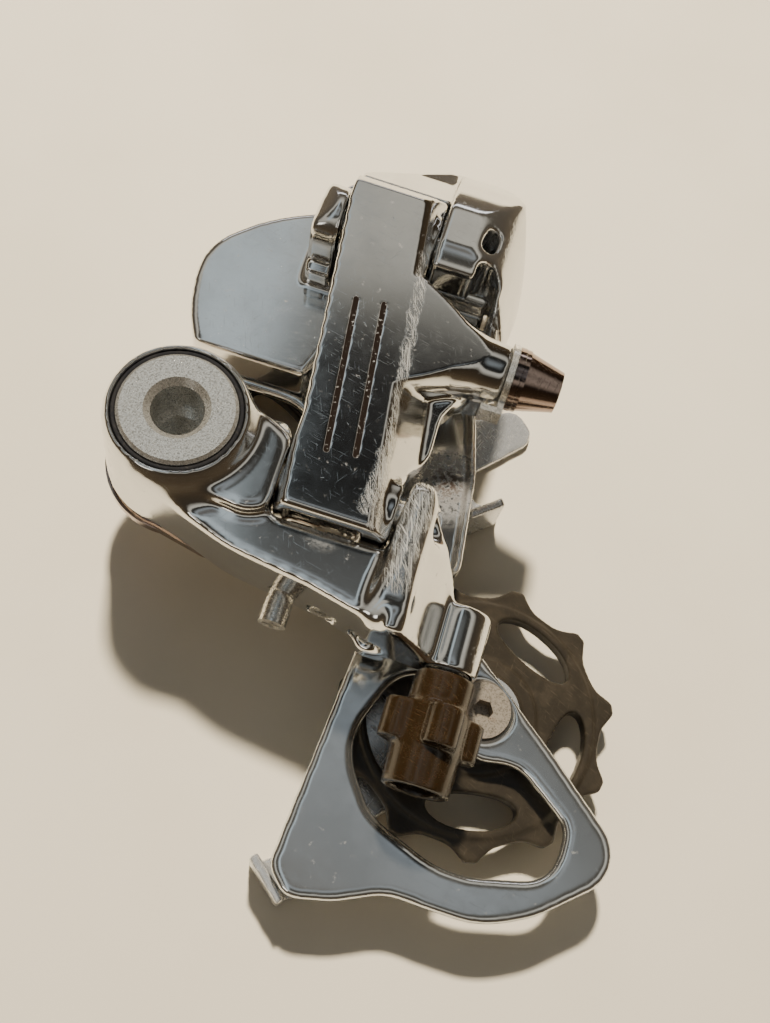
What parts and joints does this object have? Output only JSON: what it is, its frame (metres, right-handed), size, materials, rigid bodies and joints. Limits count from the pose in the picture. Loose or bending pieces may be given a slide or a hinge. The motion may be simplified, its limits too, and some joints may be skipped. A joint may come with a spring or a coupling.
{
  "type": "rear bicycle derailleur",
  "caption": "Short-cage rear derailleur with a sprung parallelogram, a swinging pulley cage, toothed jockey wheels and a cable adjuster.",
  "frame": {"origin": "on the mounting bolt's axis, at the face that seats on the hanger", "axes": "+Z along the mounting bolt, outboard; +Y to the front of the bicycle; +X down"},
  "size_m": [0.0958, 0.1257, 0.039],
  "materials": {
    "polished_aluminium": "polished, with scratches and scuffed ridges",
    "satin_aluminium": "satin, lightly stained",
    "steel": "bright plated steel, slightly worn",
    "dark_steel": "dark plated steel, glossy",
    "tarnished_steel": "dull steel with rust at the rim",
    "spring_steel": "oiled spring steel",
    "black_rubber": "matt black seal",
    "bronze": "plain bearing bronze",
    "brown_plastic": "amber-brown moulded plastic, dusty",
    "pulley_plastic": "dark grey-brown moulded plastic, worn on the teeth",
    "ceramic": "white ceramic bush"
  },
  "bodies": {
    "mount": {"mounting_bolt": "steel", "stop_plate": "dark_steel", "bolt_snap_ring": "steel", "bolt_seal_ring": "black_rubber"},
    "upper_knuckle": {"b_knuckle": "polished_aluminium", "knuckle_bush": "bronze", "knuckle_spring": "spring_steel", "outer_pin_rear": "steel", "inner_pin_rear": "steel", "link_return_spring": "spring_steel"},
    "body_angle_screw": {"b_tension_screw": "steel"},
    "high_limit_screw": {"limit_screw_high": "steel"},
    "low_limit_screw": {"limit_screw_low": "steel"},
    "adjuster": {"adjuster_barrel": "steel", "adjuster_grip": "brown_plastic", "adjuster_spring": "spring_steel"},
    "outer_link": {"outer_link": "polished_aluminium", "outer_link_bushes": "bronze", "anchor_bolt": "dark_steel", "anchor_washer": "dark_steel", "anchor_tab_plate": "steel"},
    "inner_link": {"inner_link": "polished_aluminium", "inner_link_bushes": "bronze"},
    "lower_knuckle": {"p_knuckle": "polished_aluminium", "p_knuckle_seal": "black_rubber", "cage_spring": "spring_steel", "outer_pin_front": "steel", "inner_pin_front": "steel"},
    "cage": {"cage_plate_outer": "polished_aluminium", "cage_plate_inner": "satin_aluminium", "cage_axle": "steel", "cage_stop_pin": "steel", "guide_bolt": "tarnished_steel", "guide_bush": "ceramic", "guide_caps": "satin_aluminium", "tension_bolt": "tarnished_steel", "tension_race_inner": "steel", "tension_caps": "satin_aluminium"},
    "guide_pulley": {"guide_pulley": "pulley_plastic"},
    "tension_pulley": {"tension_pulley": "pulley_plastic", "tension_race_outer": "steel", "tension_balls": "steel"}
  },
  "joints": [
    {"name": "knuckle_swing", "type": "hinge", "parent": "mount", "child": "upper_knuckle", "pos_m": [0, 0, 0.01], "axis": [0, 0, 1], "range_deg": [-12, 0], "stiffness_Nm_per_rad": 0.6, "springref_deg": 14.32},
    {"name": "body_angle_screw_travel", "type": "slide", "parent": "upper_knuckle", "child": "body_angle_screw", "axis": [0, -1, 0], "range_m": [0, 0.004]},
    {"name": "high_limit_screw_travel", "type": "slide", "parent": "upper_knuckle", "child": "high_limit_screw", "axis": [0, -1, 0], "range_m": [0, 0.003]},
    {"name": "low_limit_screw_travel", "type": "slide", "parent": "upper_knuckle", "child": "low_limit_screw", "axis": [0, -1, 0], "range_m": [0, 0.003]},
    {"name": "adjuster_turn", "type": "hinge", "parent": "upper_knuckle", "child": "adjuster", "pos_m": [0.05, -0.03, 0.005], "axis": [0, -1, 0], "continuous": true},
    {"name": "link_swing", "type": "hinge", "parent": "upper_knuckle", "child": "outer_link", "pos_m": [0.026, -0.003, 0.0145], "axis": [-1, 0, 0], "range_deg": [0, 40], "stiffness_Nm_per_rad": 0.8, "springref_deg": -22.92},
    {"name": "inner_link_swing", "type": "hinge", "parent": "upper_knuckle", "child": "inner_link", "pos_m": [0.03, -0.001, 0.002], "axis": [-1, 0, 0], "range_deg": [0, 40]},
    {"name": "lower_knuckle_pivot", "type": "hinge", "parent": "outer_link", "child": "lower_knuckle", "pos_m": [0.02, 0.044, 0.0145], "axis": [-1, 0, 0], "range_deg": [-40, 0]},
    {"name": "cage_swing", "type": "hinge", "parent": "lower_knuckle", "child": "cage", "pos_m": [0.006, 0.034, -0.006], "axis": [0, 0, 1], "range_deg": [0, 70], "stiffness_Nm_per_rad": 0.25, "springref_deg": -28.65},
    {"name": "guide_pulley_spin", "type": "hinge", "parent": "cage", "child": "guide_pulley", "pos_m": [0.019, 0.0305, -0.0112], "axis": [0, 0, 1], "continuous": true},
    {"name": "tension_pulley_spin", "type": "hinge", "parent": "cage", "child": "tension_pulley", "pos_m": [0.058, -0.0225, -0.0112], "axis": [0, 0, 1], "continuous": true}
  ],
  "couplings": [
    {"joint": "inner_link_swing", "follows": "link_swing", "ratio": 1},
    {"joint": "lower_knuckle_pivot", "follows": "link_swing", "ratio": -1}
  ]
}
